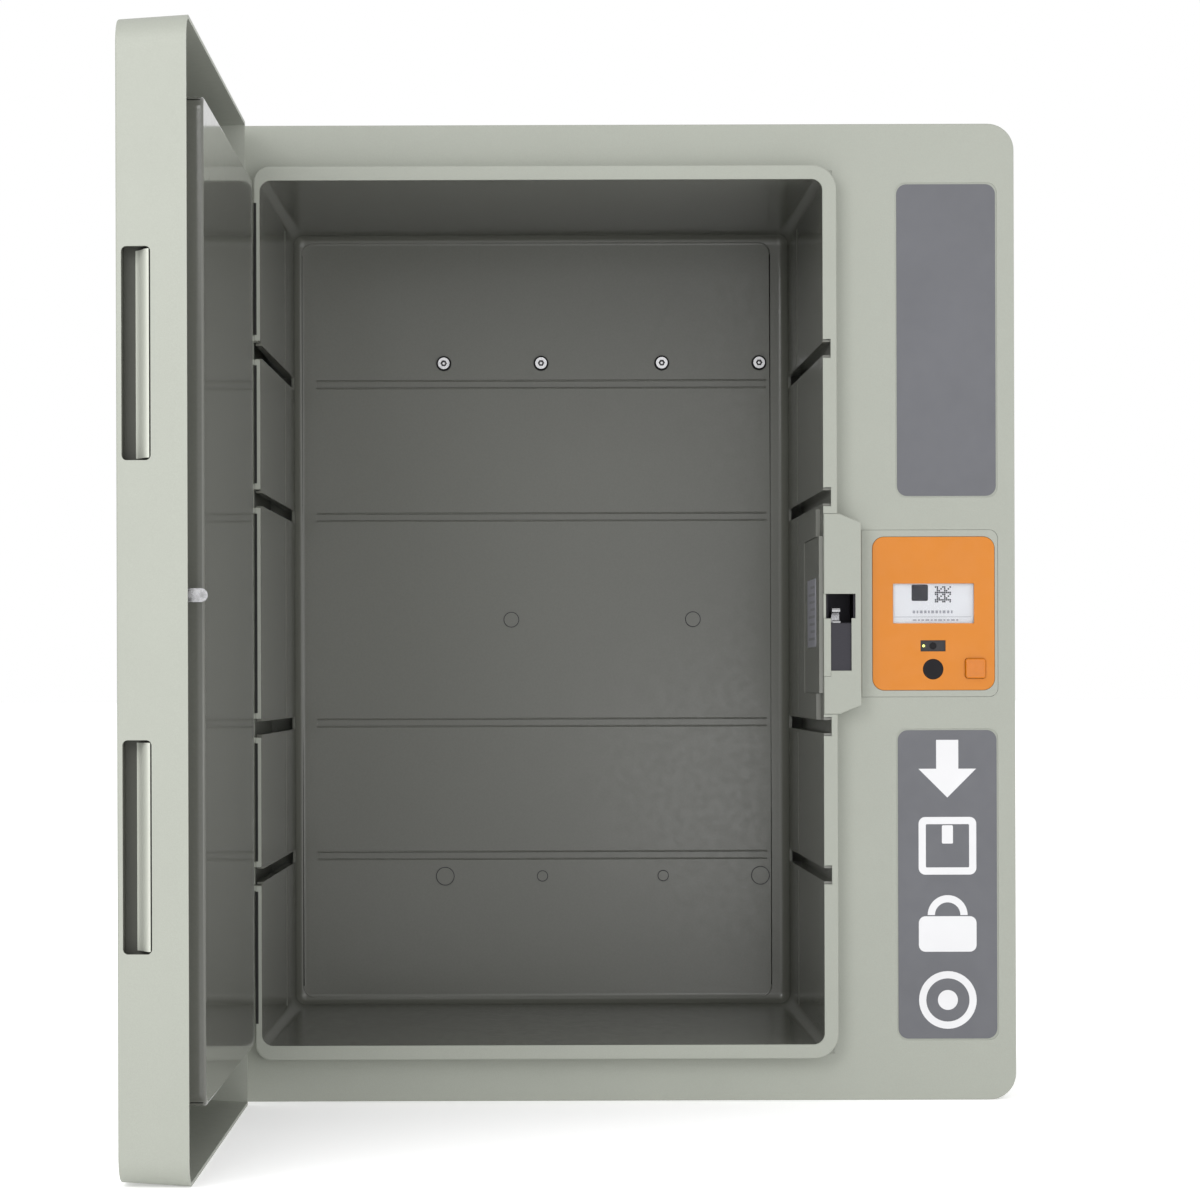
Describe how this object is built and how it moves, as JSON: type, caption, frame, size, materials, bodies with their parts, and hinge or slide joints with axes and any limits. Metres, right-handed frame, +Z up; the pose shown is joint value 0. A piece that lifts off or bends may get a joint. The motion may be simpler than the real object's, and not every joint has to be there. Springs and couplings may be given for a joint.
{
  "type": "parcel locker",
  "caption": "Moulded parcel locker cabinet with a deep side-hung door standing open, a grooved inner tub, a rotary latch and an electronic control panel.",
  "frame": {"origin": "middle of the base of the closed cabinet, on the floor", "axes": "+X to the right seen from the front, +Y to the rear, +Z up; the door is at rest open at a right angle"},
  "size_m": [0.7443, 1.019, 0.88],
  "materials": {
    "light_shell": "fine moulded texture, light warm grey",
    "dark_liner": "smooth semi-gloss, dark olive grey",
    "black_rubber": "matt black",
    "white_label": "satin white film",
    "slate_label": "satin dark blue-grey film",
    "bright_steel": "bright zinc and nickel plating",
    "hinge_steel": "brushed stainless",
    "dark_steel": "dark passivated sheet",
    "orange_panel": "satin orange film",
    "orange_button": "clear-coated orange",
    "clear_window": "clear acrylic",
    "paper_display": "paper-white display film",
    "black_plastic": "satin black",
    "dark_glass": "polished dark lens",
    "lamp": "lit status lamp",
    "green_board": "solder-masked board",
    "battery": "sleeved cells",
    "copper_coil": "enamelled winding"
  },
  "bodies": {
    "cabinet": {"battery_cells": "battery", "cabinet_leaf_lower": "hinge_steel", "cabinet_leaf_screws": "bright_steel", "cabinet_leaf_upper": "hinge_steel", "claw_pivot": "bright_steel", "controller_board": "green_board", "display_panel": "paper_display", "display_window": "clear_window", "faceplate": "orange_panel", "front_frame": "light_shell", "hinge_pin_lower": "bright_steel", "hinge_pin_upper": "bright_steel", "info_label": "white_label", "inner_liner": "dark_liner", "lock_case": "dark_steel", "lock_cover": "light_shell", "lock_insert": "light_shell", "lower_label": "slate_label", "module_bezel": "light_shell", "module_tray": "black_plastic", "outer_shell": "light_shell", "pawl_pivot": "bright_steel", "release_coil": "copper_coil", "rim_seals": "black_rubber", "scanner_housing": "black_plastic", "scanner_lens": "dark_glass", "screw_washers": "black_rubber", "sensor_window": "dark_glass", "service_cover": "dark_liner", "service_housing": "dark_liner", "slot_plate": "dark_steel", "status_lamp": "lamp", "upper_label": "slate_label", "wall_plugs": "dark_liner", "wall_screws": "bright_steel"},
    "door": {"door_inner_panel": "dark_liner", "door_leaf_lower": "hinge_steel", "door_leaf_screws": "bright_steel", "door_leaf_upper": "hinge_steel", "door_shell": "light_shell", "door_striker": "bright_steel", "lower_grip_cup": "dark_liner", "upper_grip_cup": "dark_liner"},
    "claw": {"latch_claw": "bright_steel"},
    "pawl": {"pawl": "dark_steel"},
    "plunger": {"release_plunger": "bright_steel"},
    "button": {"call_button": "orange_button"}
  },
  "joints": [
    {"name": "door_hinge", "type": "hinge", "parent": "cabinet", "child": "door", "pos_m": [-0.357, -0.2255, 0.44], "axis": [0, 0, -1], "range_deg": [-90, 20]},
    {"name": "claw_turn", "type": "hinge", "parent": "cabinet", "child": "claw", "pos_m": [0.1911, -0.1882, 0.427], "axis": [-1, 0, 0], "range_deg": [0, 40]},
    {"name": "pawl_turn", "type": "hinge", "parent": "cabinet", "child": "pawl", "pos_m": [0.1911, -0.1722, 0.407], "axis": [-1, 0, 0], "range_deg": [0, 11]},
    {"name": "plunger_slide", "type": "slide", "parent": "cabinet", "child": "plunger", "axis": [0, 0, 1], "range_m": [0, 0.00307]},
    {"name": "button_press", "type": "slide", "parent": "cabinet", "child": "button", "axis": [0, 1, 0], "range_m": [0, 0.0015], "stiffness_N_per_m": 400, "springref_m": -0.001}
  ],
  "couplings": [
    {"joint": "pawl_turn", "follows": "plunger_slide", "rad_per_m": 62.5}
  ]
}
